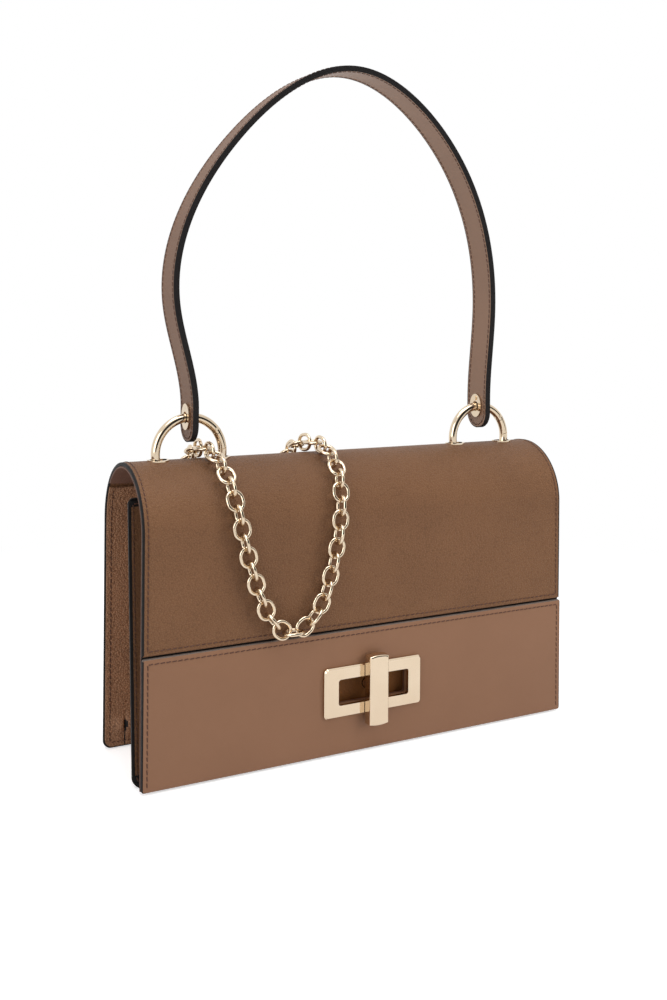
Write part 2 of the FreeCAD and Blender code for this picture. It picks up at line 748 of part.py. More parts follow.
def make_chain_loops():
    """Leather tabs riveted to the back, each folded round the straight bar of a dee."""
    r = chain_wire / 2
    loop_y = back_y + tab_loop
    rivets = []
    for x, name in ((-tab_x, "left"), (tab_x, "right")):
        plies = rounded_slab(
            tab_width, 2 * (tab_high - tab_low), tab_corner, back_y, back_y + 2 * tab_leather, tab_low
        )
        plies = plies.common(Part.makeBox(
            tab_width, body_depth, tab_high - tab_low, V(-tab_width / 2, back_y, tab_low)
        ))
        fold = cylinder_x(tab_loop, loop_y, tab_low, -tab_width / 2, tab_width / 2)
        way = cylinder_x(r + dee_gap, loop_y, tab_low, -tab_width, tab_width)
        rivet_z = tab_low + tab_rivet_rise
        hole = cylinder_y(tab_rivet + hole_gap, 0, rivet_z, back_y, back_y + body_depth)
        tab = plies.fuse(fold).removeSplitter().cut(way).cut(hole)
        tab.translate(V(x, 0, 0))
        write(name + "_chain_tab", [tab])

        half, side = dee_half, dee_side
        disc = Part.Face(Part.Wire(Part.makeCircle(r, V(half, 0, -side), Z_AXIS)))
        dee = Part.makeCylinder(r, 2 * half, V(-half, 0, 0), X_AXIS).fuse([
            Part.makeSphere(r, V(-half, 0, 0)), Part.makeSphere(r, V(half, 0, 0)),
            Part.makeCylinder(r, side, V(-half, 0, -side), Z_AXIS),
            Part.makeCylinder(r, side, V(half, 0, -side), Z_AXIS),
            disc.revolve(V(0, 0, -side), Y_AXIS, 180),
        ]).removeSplitter()
        dee.rotate(V(0, 0, 0), X_AXIS, dee_tilt)
        dee.translate(V(x, loop_y, tab_low))
        write(name + "_chain_dee", [dee])
        top = back_y + 2 * tab_leather
        shank = cylinder_y(tab_rivet, x, rivet_z, back_y - leather, top)
        rivets.append(shank.fuse(
            cylinder_y(tab_rivet_head, x, rivet_z, top, top + tab_rivet_cap)
        ).removeSplitter())
    write("chain_tab_rivets", rivets)


os.makedirs("parts", exist_ok=True)
make_back()
make_front()
make_sides()
make_base()
make_flap()
make_lock_frame()
make_lock()
for name, ring in (("left", -1), ("right", 1)):
    make_eyelets(name, ring)
    make_ring(name, ring)
make_handle()
make_chain_loops()
make_chain()
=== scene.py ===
import math

import bmesh
import bpy
import numpy as np
from mathutils import Matrix, Vector


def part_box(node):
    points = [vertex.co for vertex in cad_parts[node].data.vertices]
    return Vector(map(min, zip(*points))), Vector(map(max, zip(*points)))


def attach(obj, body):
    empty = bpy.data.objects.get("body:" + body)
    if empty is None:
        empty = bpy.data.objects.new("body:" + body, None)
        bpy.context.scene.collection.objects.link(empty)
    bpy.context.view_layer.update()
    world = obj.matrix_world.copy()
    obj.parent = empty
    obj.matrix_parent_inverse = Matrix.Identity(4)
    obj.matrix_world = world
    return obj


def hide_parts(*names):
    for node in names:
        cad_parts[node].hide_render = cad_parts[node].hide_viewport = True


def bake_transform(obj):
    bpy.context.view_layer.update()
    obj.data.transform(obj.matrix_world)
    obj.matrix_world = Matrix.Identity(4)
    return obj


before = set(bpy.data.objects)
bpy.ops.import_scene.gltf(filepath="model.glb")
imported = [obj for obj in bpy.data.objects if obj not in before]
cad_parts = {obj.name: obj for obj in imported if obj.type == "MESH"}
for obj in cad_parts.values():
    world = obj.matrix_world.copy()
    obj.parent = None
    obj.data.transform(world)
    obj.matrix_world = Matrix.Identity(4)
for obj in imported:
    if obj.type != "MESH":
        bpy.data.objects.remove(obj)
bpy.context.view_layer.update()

bpy.ops.object.select_all(action="DESELECT")


# The set: a pale round floor that fades into white, a white room that is darker on the camera's side,
# and three soft boxes. The camera stands where the photograph was taken from.
scene = bpy.context.scene
scene.view_settings.view_transform = "Standard"


def add(tree, kind, values=None, **settings):
    """Adds a shader node; a value that is an output socket is linked, any other value is set."""
    made = tree.nodes.new("ShaderNode" + kind)
    for key, value in settings.items():
        setattr(made, key, value)
    for key, value in (values or {}).items():
        if isinstance(value, bpy.types.NodeSocket):
            tree.links.new(value, made.inputs[key])
        else:
            made.inputs[key].default_value = value
    return made


room = bpy.data.worlds.new("white_room")
scene.world = room
room.use_nodes = True
tree = room.node_tree
tree.nodes.clear()
path = add(tree, "LightPath")
shown = add(tree, "Math", {0: path.outputs["Is Camera Ray"], 1: path.outputs["Is Transmission Ray"]},
            operation="MAXIMUM")
away = add(tree, "VectorMath", {0: add(tree, "TexCoord").outputs["Generated"], 1: (-0.235, 0.972, 0.0)},
           operation="DOT_PRODUCT")
corner = add(tree, "MapRange", {"Value": away.outputs["Value"], "From Min": -0.8, "From Max": -0.55,
                                "To Min": 0.03, "To Max": 1.0}, interpolation_type="SMOOTHSTEP")
soft = add(tree, "Background", {"Color": (1.0, 0.99, 0.98, 1.0), "Strength": 0.42})
mirrored = add(tree, "Background", {"Color": (1.0, 1.0, 1.0, 1.0), "Strength": corner.outputs["Result"]})
white = add(tree, "Background", {"Color": (1.0, 1.0, 1.0, 1.0), "Strength": 1.0})
lit = add(tree, "MixShader", {0: path.outputs["Is Glossy Ray"], 1: soft.outputs[0], 2: mirrored.outputs[0]})
seen = add(tree, "MixShader", {0: shown.outputs[0], 1: lit.outputs[0], 2: white.outputs[0]})
add(tree, "OutputWorld", {"Surface": seen.outputs[0]})

bpy.ops.mesh.primitive_circle_add(vertices=96, radius=2.4, fill_type="NGON")
floor = bpy.context.object
floor.name = "floor"
pale = bpy.data.materials.new("pale_floor")
pale.use_nodes = True
tree = pale.node_tree
tree.nodes.clear()
spot = add(tree, "VectorMath", {0: add(tree, "TexCoord").outputs["Object"]}, operation="LENGTH")
fade = add(tree, "MapRange", {"Value": spot.outputs["Value"], "From Min": 0.22, "From Max": 0.62},
           interpolation_type="SMOOTHSTEP")
path = add(tree, "LightPath")
looked = add(tree, "Math", {0: path.outputs["Is Camera Ray"], 1: path.outputs["Is Glossy Ray"]},
             operation="MAXIMUM")
looked = add(tree, "Math", {0: looked.outputs[0], 1: path.outputs["Is Transmission Ray"]},
             operation="MAXIMUM")
plain = add(tree, "BsdfDiffuse", {"Color": (0.86, 0.86, 0.87, 1.0)})
lift = add(tree, "Emission", {"Color": (1.0, 1.0, 1.0, 1.0), "Strength": looked.outputs[0]})
halo = add(tree, "MapRange", {"Value": path.outputs["Is Glossy Ray"], "To Min": 0.52, "To Max": 0.1})
halo = add(tree, "Math", {0: looked.outputs[0], 1: halo.outputs["Result"]}, operation="MULTIPLY")
glow = add(tree, "Emission", {"Color": (1.0, 1.0, 1.0, 1.0), "Strength": halo.outputs[0]})
near = add(tree, "AddShader", {0: plain.outputs[0], 1: glow.outputs[0]})
far = add(tree, "Math", {0: fade.outputs["Result"], 1: looked.outputs[0]}, operation="MULTIPLY")
both = add(tree, "MixShader", {0: far.outputs[0], 1: near.outputs[0], 2: lift.outputs[0]})
add(tree, "OutputMaterial", {"Surface": both.outputs[0]})
floor.data.materials.append(pale)

lit_middle = Vector((0.0, 0.0, 0.12))
for name, place, width, height, power in (
    ("front_soft_box", (0.95, -1.35, 0.75), 1.1, 1.3, 19.0),
    ("left_soft_box", (-1.15, -0.7, 0.55), 0.8, 0.9, 5.0),
    ("top_soft_box", (-0.15, -0.25, 1.55), 1.3, 1.0, 13.0),
):
    lamp = bpy.data.lights.new(name, "AREA")
    lamp.shape = "RECTANGLE"
    lamp.size = width
    lamp.size_y = height
    lamp.energy = power
    holder = bpy.data.objects.new(name, lamp)
    scene.collection.objects.link(holder)
    holder.location = place
    holder.visible_glossy = name != "front_soft_box"
    holder.rotation_euler = (lit_middle - Vector(place)).to_track_quat("-Z", "Y").to_euler()

lens = bpy.data.cameras.new("photo_lens")
lens.sensor_fit = "VERTICAL"
lens.sensor_height = 36.0
lens.lens = 39.51
lens.shift_y = -0.187
camera = bpy.data.objects.new("photo_camera", lens)
scene.collection.objects.link(camera)
ahead, level, tilt = Vector((0.4692, 0.8831, 0.0)), Vector((0.8831, -0.4692, 0.0)), 0.008
right = level * math.cos(tilt) + Vector((0, 0, math.sin(tilt)))
up = Vector((0, 0, math.cos(tilt))) - level * math.sin(tilt)
turned = Matrix((right, up, -ahead)).transposed().to_4x4()
camera.matrix_world = Matrix.Translation((-0.3240, -0.5897, 0.2564)) @ turned
scene.camera = camera


# Back wall and upper flap: one hide of pebbled calf leather that climbs the back, arches over
# the crest and hangs down to the seam. Its edges are rounded and painted near black.
mm, tiny = 0.001, 1e-6
half_width, back_y, front_y = 140 * mm, 41 * mm, -31 * mm
arch_y, arch_z, arch_radius = 5 * mm, 136 * mm, 36 * mm
seam_z, seam_gap, seam_clear = 72.8 * mm, 1.0 * mm, 3 * mm
hide, hide_with_board = 1.6 * mm, 2.2 * mm
paint_margin, foot_corner = 1.1 * mm, 5 * mm
board_angle, board_fade = 57.0, 7.0
ring_x, leg_spread, slot_length, slot_width = 101 * mm, 18.6 * mm, 11.3 * mm, 8.9 * mm
way_through = 30 * mm


def begin(name, size=(1.0, 1.0, 1.0)):
    """Names and sizes the primitive just added, puts its place in its mesh and opens it for shaping."""
    piece = bpy.context.object
    piece.name = name
    piece.data.name = name
    piece.scale = size
    bpy.ops.object.transform_apply(location=True, rotation=True, scale=True)
    bpy.ops.object.mode_set(mode="EDIT")
    return piece


def pick(piece, kind, test):
    """Selects, in edit mode, the vertices, edges or faces whose corners all pass a test of place."""
    bpy.ops.mesh.select_mode(type=kind)
    bpy.ops.mesh.select_all(action="DESELECT")
    mesh = bmesh.from_edit_mesh(piece.data)
    for thing in {"VERT": mesh.verts, "EDGE": mesh.edges, "FACE": mesh.faces}[kind]:
        corners = [thing] if kind == "VERT" else thing.verts
        if all(test(corner.co) for corner in corners):
            thing.select_set(True)
    bmesh.update_edit_mesh(piece.data)


def paint_unpicked(piece, slot, test=lambda middle: True):
    """Gives the faces that aren't selected, in edit mode, another material slot."""
    mesh = bmesh.from_edit_mesh(piece.data)
    for face in mesh.faces:
        if not face.select and test(face.calc_center_median()):
            face.material_index = slot
    bmesh.update_edit_mesh(piece.data)


def outward():
    """Closes doubled corners and turns the faces outwards, in edit mode."""
    bpy.ops.mesh.select_all(action="SELECT")
    bpy.ops.mesh.remove_doubles(threshold=tiny)
    bpy.ops.mesh.normals_make_consistent(inside=False)


def shape_with(piece, kind, **settings):
    """Puts one modifier on a piece and applies it."""
    made = piece.modifiers.new(kind.lower(), kind)
    for key, value in settings.items():
        setattr(made, key, value)
    bpy.context.view_layer.objects.active = piece
    bpy.ops.object.modifier_apply(modifier=made.name)


def round_edges(piece, width, segments=2, least_angle=50.0):
    """Rounds the edges of a piece that are sharper than an angle."""
    shape_with(piece, "BEVEL", width=width, segments=segments, limit_method="ANGLE",
               angle_limit=math.radians(least_angle))


def dress(piece, *finishes, angle=35.0):
    """Gives a piece its finishes, slot by slot, and shades it smooth up to an angle."""
    for finish in finishes:
        piece.data.materials.append(finish)
    bpy.ops.object.select_all(action="DESELECT")
    piece.select_set(True)
    bpy.context.view_layer.objects.active = piece
    bpy.ops.object.shade_smooth_by_angle(angle=math.radians(angle))
    piece.select_set(False)


def cut(piece, cutter):
    """Cuts one closed form out of a piece and throws the cutter away."""
    shape_with(piece, "BOOLEAN", operation="DIFFERENCE", object=cutter, solver="EXACT")
    bpy.data.objects.remove(cutter)


def upright_slots():
    """Cutters, rounded all over, at the four places where the rings' legs pass through the crest."""
    cutters = []
    for x in [side * ring_x + leg for side in (-1, 1) for leg in (-leg_spread, leg_spread)]:
        bpy.ops.mesh.primitive_cube_add(size=1.0, location=(x, arch_y, arch_z + arch_radius))
        cutter = begin("slot", (slot_length, slot_width, way_through))
        pick(cutter, "EDGE", lambda p: True)
        bpy.ops.mesh.bevel(offset=slot_width / 2 - tiny, segments=12)
        bpy.ops.object.mode_set(mode="OBJECT")
        cutters.append(cutter)
    for cutter in cutters:
        cutter.select_set(True)
    bpy.context.view_layer.objects.active = cutters[0]
    bpy.ops.object.join()
    cutters[0].select_set(False)
    return cutters[0]


grain = bpy.data.node_groups.new("leather_grain", "ShaderNodeTree")
for socket, side, kind in (
    ("Pebbles", "INPUT", "Float"), ("Height", "OUTPUT", "Float"), ("Crease", "OUTPUT", "Float"),
    ("Cloud", "OUTPUT", "Float"),
):
    grain.interface.new_socket(socket, in_out=side, socket_type="NodeSocket" + kind)
given = grain.nodes.new("NodeGroupInput")
place = add(grain, "TexCoord").outputs["Object"]
swirl = add(grain, "TexNoise", {"Vector": place, "Scale": 210.0, "Detail": 2.0})
pushed = add(grain, "VectorMath", {0: swirl.outputs["Color"], 1: (0.0016, 0.0016, 0.0016), 2: place},
             operation="MULTIPLY_ADD")
cells = add(grain, "TexVoronoi", {"Vector": pushed.outputs[0], "Scale": given.outputs["Pebbles"],
                                  "Smoothness": 0.35, "Randomness": 0.9}, feature="SMOOTH_F1")
rims = add(grain, "TexVoronoi", {"Vector": pushed.outputs[0], "Scale": given.outputs["Pebbles"],
                                 "Randomness": 0.9}, feature="DISTANCE_TO_EDGE")
pores = add(grain, "TexNoise", {"Vector": place, "Scale": 2600.0, "Detail": 2.0})
domes = add(grain, "MapRange", {"Value": cells.outputs["Distance"], "From Min": 0.05, "From Max": 0.75,
                                "To Min": 1.0, "To Max": 0.0})
pitted = add(grain, "Math", {0: pores.outputs["Fac"], 1: 0.18, 2: domes.outputs["Result"]},
             operation="MULTIPLY_ADD")
crease = add(grain, "MapRange", {"Value": rims.outputs["Distance"], "From Min": 0.0, "From Max": 0.16,
                                 "To Min": 1.0, "To Max": 0.0}, interpolation_type="SMOOTHSTEP")
cloud = add(grain, "TexNoise", {"Vector": place, "Scale": 24.0, "Detail": 4.0, "Roughness": 0.6})
results = grain.nodes.new("NodeGroupOutput")
for socket, source in (
    ("Height", pitted.outputs[0]), ("Crease", crease.outputs["Result"]), ("Cloud", cloud.outputs["Fac"]),
):
    grain.links.new(source, results.inputs[socket])


def leather(name, light, dark, pebbles, depth, crease_share, rough, gloss=0.5):
    """Leather whose creases are darker than its pebbles, with soft clouds of tone and a satin gloss."""
    made = bpy.data.materials.new(name)
    made.use_nodes = True
    tree = made.node_tree
    surface = tree.nodes["Principled BSDF"]
    surface.inputs["Specular IOR Level"].default_value = gloss
    skin = tree.nodes.new("ShaderNodeGroup")
    skin.node_tree = grain
    skin.inputs["Pebbles"].default_value = pebbles
    tone = add(tree, "MapRange", {"Value": skin.outputs["Cloud"], "From Min": 0.3, "From Max": 0.7,
                                  "To Min": 0.0, "To Max": 0.34})
    share = add(tree, "Math", {0: skin.outputs["Crease"], 1: crease_share, 2: tone.outputs["Result"]},
                operation="MULTIPLY_ADD", use_clamp=True)
    colour = add(tree, "Mix", {0: share.outputs[0], 6: (*light, 1.0), 7: (*dark, 1.0)}, data_type="RGBA")
    tree.links.new(colour.outputs[2], surface.inputs["Base Color"])
    gloss_map = add(tree, "MapRange", {"Value": skin.outputs["Height"], "From Min": 0.2, "From Max": 1.1,
                                       "To Min": rough + 0.09, "To Max": rough - 0.05})
    tree.links.new(gloss_map.outputs["Result"], surface.inputs["Roughness"])
    bump = add(tree, "Bump", {"Height": skin.outputs["Height"], "Distance": depth, "Strength": 1.0})
    tree.links.new(bump.outputs["Normal"], surface.inputs["Normal"])
    return made


pebbled_hide = leather("pebbled_hide", (0.166, 0.079, 0.036), (0.1, 0.045, 0.02),
                       pebbles=900.0, depth=0.00022, crease_share=0.6, rough=0.5, gloss=0.25)
edge_paint = leather("edge_paint", (0.011, 0.0095, 0.0095), (0.006, 0.0055, 0.0055),
                     pebbles=500.0, depth=0.00003, crease_share=0.2, rough=0.5, gloss=0.16)


def thread_finish(name, light, dark):
    """Waxed sewing thread, with the fine slant of its twisted plies."""
    made = bpy.data.materials.new(name)
    made.use_nodes = True
    tree = made.node_tree
    surface = tree.nodes["Principled BSDF"]
    place = add(tree, "TexCoord").outputs["Object"]
    plies = add(tree, "TexWave", {"Vector": place, "Scale": 900.0, "Distortion": 1.5},
                bands_direction="DIAGONAL")
    colour = add(tree, "Mix", {0: plies.outputs["Fac"], 6: (*dark, 1.0), 7: (*light, 1.0)}, data_type="RGBA")
    tree.links.new(colour.outputs[2], surface.inputs["Base Color"])
    surface.inputs["Roughness"].default_value = 0.55
    bump = add(tree, "Bump", {"Height": plies.outputs["Fac"], "Distance": 0.00006, "Strength": 0.8})
    tree.links.new(bump.outputs["Normal"], surface.inputs["Normal"])
    return made


brown_thread = thread_finish("brown_thread", (0.088, 0.029, 0.011), (0.042, 0.014, 0.006))

bpy.ops.mesh.primitive_plane_add(size=1.0, location=(0, back_y, arch_z / 2), rotation=(-math.pi / 2, 0, 0))
wrap = begin("outer_hide", (2 * half_width, arch_z, 1.0))
pick(wrap, "VERT", lambda p: p.z < tiny)
bpy.ops.mesh.bevel(offset=foot_corner, segments=10, affect="VERTICES")
pick(wrap, "EDGE", lambda p: p.z > arch_z - tiny)
bpy.ops.mesh.spin(steps=60, angle=-math.pi, center=(0, arch_y, arch_z), axis=(1, 0, 0))
bpy.ops.mesh.extrude_region_move(TRANSFORM_OT_translate={"value": (0, 0, seam_z + seam_gap / 2 - arch_z)})
outward()
bpy.ops.mesh.select_mode(type="FACE")
bpy.ops.mesh.select_all(action="SELECT")
bpy.ops.mesh.inset(thickness=paint_margin, use_boundary=True, use_even_offset=True)
side_margin = half_width - paint_margin
paint_unpicked(wrap, 1, lambda p: p.y > 0 or p.z > seam_z + seam_clear or abs(p.x) > side_margin)
bpy.ops.object.mode_set(mode="OBJECT")
thickness = wrap.vertex_groups.new(name="thickness")
for point in wrap.data.vertices:
    angle = math.degrees(math.atan2(arch_y - point.co.y, max(point.co.z - arch_z, 0.0)))
    share = min(max((angle + board_angle) / board_fade, 0.0), 1.0)
    thickness.add([point.index], (hide + (hide_with_board - hide) * share) / hide_with_board, "REPLACE")
shape_with(wrap, "SOLIDIFY", thickness=hide_with_board, offset=-1.0, vertex_group="thickness")
round_edges(wrap, 0.6 * mm, segments=3)
cut(wrap, upright_slots())
dress(wrap, pebbled_hide, edge_paint)

stitch_length, stitch_pitch, stitch_slant, thread_radius = 2.3 * mm, 3.3 * mm, math.radians(7), 0.36 * mm
end_inset, end_out, end_drop, edge_drop = 0.42 * thread_radius, 0.1 * mm, 0.14 * mm, 0.07 * mm
bpy.ops.mesh.primitive_cylinder_add(vertices=6, radius=thread_radius, depth=stitch_length,
                                    rotation=(0, math.pi / 2, 0))
stitch = begin("stitch")
for end in (-1, 1):
    pick(stitch, "FACE", lambda p: p.x * end > stitch_length / 2 - tiny)
    bpy.ops.mesh.inset(thickness=end_inset)
    bpy.ops.transform.translate(value=(end * end_out, 0, -end_drop))
pick(stitch, "EDGE", lambda p: abs(abs(p.x) - stitch_length / 2) < tiny)
bpy.ops.transform.translate(value=(0, 0, -edge_drop))
bpy.ops.object.mode_set(mode="OBJECT")
stitch.hide_render = True


def spaced(points, pitch):
    """Places at an even pitch along a drawn line, each with the line's direction there."""
    line = np.array([tuple(p) for p in points])
    steps = np.linalg.norm(np.diff(line, axis=0), axis=1)
    runs = np.concatenate([[0.0], np.cumsum(steps)])
    count = int(runs[-1] / pitch)
    for k in range(count):
        run = (k + 0.5) * runs[-1] / count
        j = min(int(np.searchsorted(runs, run)) - 1, len(steps) - 1)
        share = (run - runs[j]) / steps[j]
        yield Vector(line[j] * (1 - share) + line[j + 1] * share), Vector(line[j + 1] - line[j]).normalized()


def stitch_row(name, lines, facing):
    """Sews rows of stitches along drawn lines; facing gives the leather's outward direction at a place."""
    row = bpy.data.objects.new(name, bpy.data.meshes.new(name))
    scene.collection.objects.link(row)
    bpy.ops.object.select_all(action="DESELECT")
    for points in lines:
        for place, along in spaced(points, stitch_pitch):
            out = facing(place)
            side = out.cross(along).normalized()
            turned = along * math.cos(stitch_slant) + side * math.sin(stitch_slant)
            copy = stitch.copy()
            copy.data = stitch.data.copy()
            copy.hide_render = False
            scene.collection.objects.link(copy)
            across = out.cross(turned).normalized()
            axes = Matrix((turned, across, turned.cross(across))).transposed()
            copy.matrix_world = Matrix.Translation(place) @ axes.to_4x4()
            copy.select_set(True)
    row.select_set(True)
    bpy.context.view_layer.objects.active = row
    bpy.ops.object.join()
    row.data.materials.clear()
    dress(row, brown_thread, angle=50.0)
    return row


def arch_line(x, radius, start, end, count=40):
    """A line over the arch at one x, its angle from the crest growing towards the front."""
    angles = [math.radians(start + (end - start) * k / count) for k in range(count + 1)]
    return [Vector((x, arch_y - radius * math.sin(a), arch_z + radius * math.cos(a))) for a in angles]


def wrap_facing(place):
    """The outer hide's outward direction at a place."""
    if place.z > arch_z:
        return Vector((0, place.y - arch_y, place.z - arch_z)).normalized()
    return Vector((0, 1 if place.y > 0 else -1, 0))


edge_row, seam_row, proud = 3.1 * mm, 2.6 * mm, 0.08 * mm
row_x, row_z = half_width - edge_row, seam_z + seam_gap / 2 + seam_row
over = arch_radius + proud
lines = []
for side in (-1, 1):
    x = side * row_x
    foot, end = Vector((x, back_y + proud, foot_corner)), Vector((x, front_y - proud, row_z))
    lines.append([foot] + arch_line(x, over, -90, 90) + [end])
lines.append([Vector((-row_x, front_y - proud, row_z)), Vector((row_x, front_y - proud, row_z))])
turns = [math.radians(90 * k / 8) for k in range(9)]


def round_foot(half, inset, y):
    """A row of places round a wall's two lower corners, an inset in from its edge."""
    near = [Vector((foot_corner - half - (foot_corner - inset) * math.cos(a), y,
                    foot_corner - (foot_corner - inset) * math.sin(a))) for a in turns]
    return near + [Vector((-p.x, p.y, p.z)) for p in reversed(near)]


lines.append(round_foot(half_width, edge_row, back_y + proud))
wrap_stitches = stitch_row("outer_hide_stitches", lines, wrap_facing)
for piece, slot in ((wrap, "grain_leather"), (wrap_stitches, "grain_leather")):
    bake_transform(piece)
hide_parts("back_panel", "back_stiffener", "flap_upper")


# Lining: thin red brown calf glued under the whole hide, narrower between the side walls at the back
# and full width in the flap, pierced for the rings and for the lock's window.
lining_out, lining, lining_low = 33.8 * mm, 1.0 * mm, 2 * mm
back_lining_half, flap_hem = 116 * mm, 1.5 * mm
lock_z, window_width, window_height, window_corner = 37.7 * mm, 47 * mm, 15 * mm, 1.5 * mm
lining_calf = leather("lining_calf", (0.128, 0.052, 0.028), (0.07, 0.027, 0.014),
                      pebbles=1500.0, depth=0.00006, crease_share=0.4, rough=0.52)


def pick_along(piece, axis, test=lambda place: True):
    """Selects, in edit mode, the edges along one axis whose ends pass a test of place."""
    pick(piece, "EDGE", test)
    mesh = bmesh.from_edit_mesh(piece.data)
    for edge in mesh.edges:
        run = edge.verts[1].co - edge.verts[0].co
        edge.select_set(edge.select and abs(run[axis]) > 0.7 * run.length)
    bmesh.update_edit_mesh(piece.data)


def lock_window():
    """A cutter as large as the lock's window in the flap."""
    bpy.ops.mesh.primitive_cube_add(size=1.0, location=(0, front_y, lock_z))
    cutter = begin("window", (window_width, way_through, window_height))
    pick_along(cutter, 1)
    bpy.ops.mesh.bevel(offset=window_corner, segments=6)
    bpy.ops.object.mode_set(mode="OBJECT")
    return cutter


bpy.ops.mesh.primitive_plane_add(size=1.0, location=(0, arch_y + lining_out, (arch_z + lining_low) / 2),
                                 rotation=(-math.pi / 2, 0, 0))
inside = begin("inner_lining", (2 * back_lining_half, arch_z - lining_low, 1.0))
pick(inside, "EDGE", lambda p: p.z > arch_z - tiny)
turning = {"center": (0, arch_y, arch_z), "axis": (1, 0, 0)}
bpy.ops.mesh.spin(steps=11, angle=math.radians(-33), **turning)
bpy.ops.mesh.spin(steps=2, angle=math.radians(-6), **turning)
bpy.ops.transform.resize(value=(half_width / back_lining_half, 1, 1), center_override=(0, 0, 0))
bpy.ops.mesh.spin(steps=47, angle=math.radians(-141), **turning)
bpy.ops.mesh.extrude_region_move(TRANSFORM_OT_translate={"value": (0, 0, flap_hem - arch_z)})
outward()
bpy.ops.object.mode_set(mode="OBJECT")
shape_with(inside, "SOLIDIFY", thickness=lining, offset=-1.0, material_offset_rim=1)
round_edges(inside, 0.3 * mm)
cut(inside, upright_slots())
cut(inside, lock_window())
dress(inside, lining_calf, edge_paint)
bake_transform(inside)
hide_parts("back_lining", "flap_lining")


# Front wall: a stiff leaning panel of the same hide, lined inside, whose painted edge stands a little
# outside the flap's. It is sewn to the side walls and carries the lock.
wall_top, wall_half, wall_foot_y, wall_lean = 154 * mm, 141 * mm, -19.5 * mm, 11.5 * mm
wall_hide, wall_lining, wall_margin, wall_corner = 1.6 * mm, 1.6 * mm, 1.6 * mm, 3 * mm
wall_lining_half, wall_lining_corner, spindle_clear = 128 * mm, 2 * mm, 4.2 * mm


def wall_y(z):
    """How far forward the front wall's outer face is at a height."""
    return wall_foot_y + wall_lean * z / wall_top


def leaning_panel(name, half, near, far, low, low_corner, top_corner):
    """A panel that leans back with the front wall, between two depths behind its outer face."""
    middle = (0, wall_y(low) + (near + far) / 2, (low + wall_top) / 2)
    bpy.ops.mesh.primitive_cube_add(size=1.0, location=middle)
    panel = begin(name, (2 * half, far - near, wall_top - low))
    pick(panel, "FACE", lambda p: p.z > wall_top - tiny)
    bpy.ops.transform.translate(value=(0, wall_y(wall_top) - wall_y(low), 0))
    for corner, test in (
        (low_corner, lambda p: abs(p.x) > half - tiny and p.z < low + tiny),
        (top_corner, lambda p: abs(p.x) > half - tiny and p.z > wall_top - tiny),
    ):
        if corner:
            pick(panel, "EDGE", test)
            bpy.ops.mesh.bevel(offset=corner, segments=8)
    return panel


def round_way(radius, length, middle, turn):
    """A round cutter on a level line."""
    bpy.ops.mesh.primitive_cylinder_add(vertices=40, radius=radius, depth=length, location=middle,
                                        rotation=turn)
    cutter = begin("round_way")
    bpy.ops.object.mode_set(mode="OBJECT")
    return cutter


def lock_way(radius, length):
    """A round cutter along the lock's spindle."""
    return round_way(radius, length, (0, wall_y(lock_z), lock_z), (math.pi / 2, 0, 0))


front_wall = leaning_panel("front_wall", wall_half, 0.0, wall_hide, 0.0, foot_corner, wall_corner)
pick(front_wall, "FACE", lambda p: p.y < wall_y(p.z) + tiny)
bpy.ops.mesh.inset(thickness=wall_margin)
paint_unpicked(front_wall, 1)
bpy.ops.object.mode_set(mode="OBJECT")
round_edges(front_wall, 0.6 * mm, segments=3)
cut(front_wall, lock_way(spindle_clear, way_through))
dress(front_wall, pebbled_hide, edge_paint)
front_lining = leaning_panel("front_wall_lining", wall_lining_half, wall_hide, wall_hide + wall_lining,
                             lining_low, 0.0, wall_lining_corner)
bpy.ops.object.mode_set(mode="OBJECT")
round_edges(front_lining, 0.5 * mm)
cut(front_lining, lock_way(spindle_clear, way_through))
dress(front_lining, lining_calf)
wall_row, wall_row_top = wall_half - 2.8 * mm, wall_top - 3 * mm


def on_wall(x, z):
    """A place just proud of the front wall's outer face."""
    return Vector((x, wall_y(z) - proud, z))


wall_foot = [on_wall(p.x, p.z) for p in round_foot(wall_half, wall_half - wall_row, 0.0)]
wall_lines = [[on_wall(-wall_row, wall_row_top)] + wall_foot + [on_wall(wall_row, wall_row_top)]]
wall_lines.append([on_wall(-wall_row, wall_row_top), on_wall(wall_row, wall_row_top)])
wall_stitches = stitch_row("front_wall_stitches", wall_lines, lambda p: Vector((0, -1, 0)))
for piece, slot in (
    (front_wall, "grain_leather"), (front_lining, "lining_leather"), (wall_stitches, "grain_leather"),
):
    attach(piece, "bag")
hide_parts("front_panel")
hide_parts("front_stiffener", "front_lining")


# Side walls: softer pebbled hide, painted about twice as light as the back's hide as painted light against
# the shade on them.
# The rear half lies flat on the back wall and is sewn to it, the fold at its inner end turns to the front
# wall, and near the base the fold is puckered where it was pressed shut, with painted shade in the pinch and
# in the crease below it.
side_hide, side_seat, flange, least_turn = 1.4 * mm, 33.7 * mm, 6 * mm, 2.5 * mm
side_low, side_edge, side_corner = 1.3 * mm, 0.9 * mm, 4.2 * mm
fold_depth, drawn_depth, drawn_top, drawn_height = 21 * mm, 3.6 * mm, 34 * mm, 18 * mm
pucker_z, pucker_reach, pucker_below = 13.8 * mm, 4.2 * mm, 0.3
pinch_x, pinch_y, pinch_shade_half_x, pinch_shade_half_z, pinch_crease_shade_share = 127.6 * mm, 30 * mm, 1.1 * mm, 2.9 * mm, 0.35
side_rim, rim_facing, side_row, side_row_end = 153 * mm, 0.6, 2.6 * mm, 16.4 * mm
# Painted light: the side walls' leather is about twice as light as the back's pebbled hide, to make up for
# the shade on them.
side_leather_painted_light = leather("side_leather_painted_light", (0.36, 0.185, 0.098), (0.145, 0.07, 0.037),
                    pebbles=760.0, depth=0.00042, crease_share=0.75, rough=0.55, gloss=0.35)
side_heights = [z * mm for z in (
    1.3, 1.7, 2.4, 3.6, 5.5, 8.0, 10.5, 13.0, 15.5, 18.0, 20.5, 23.0, 26.0, 30.0, 36.0, 48.0, 80.0, 110.0,
    130.0, 136.0, 140.0, 145.0, 150.0, 154.0,
)]
rear_shares = (0.0, 0.06, 0.33, 0.575, 0.65, 0.725, 0.94, 1.0)
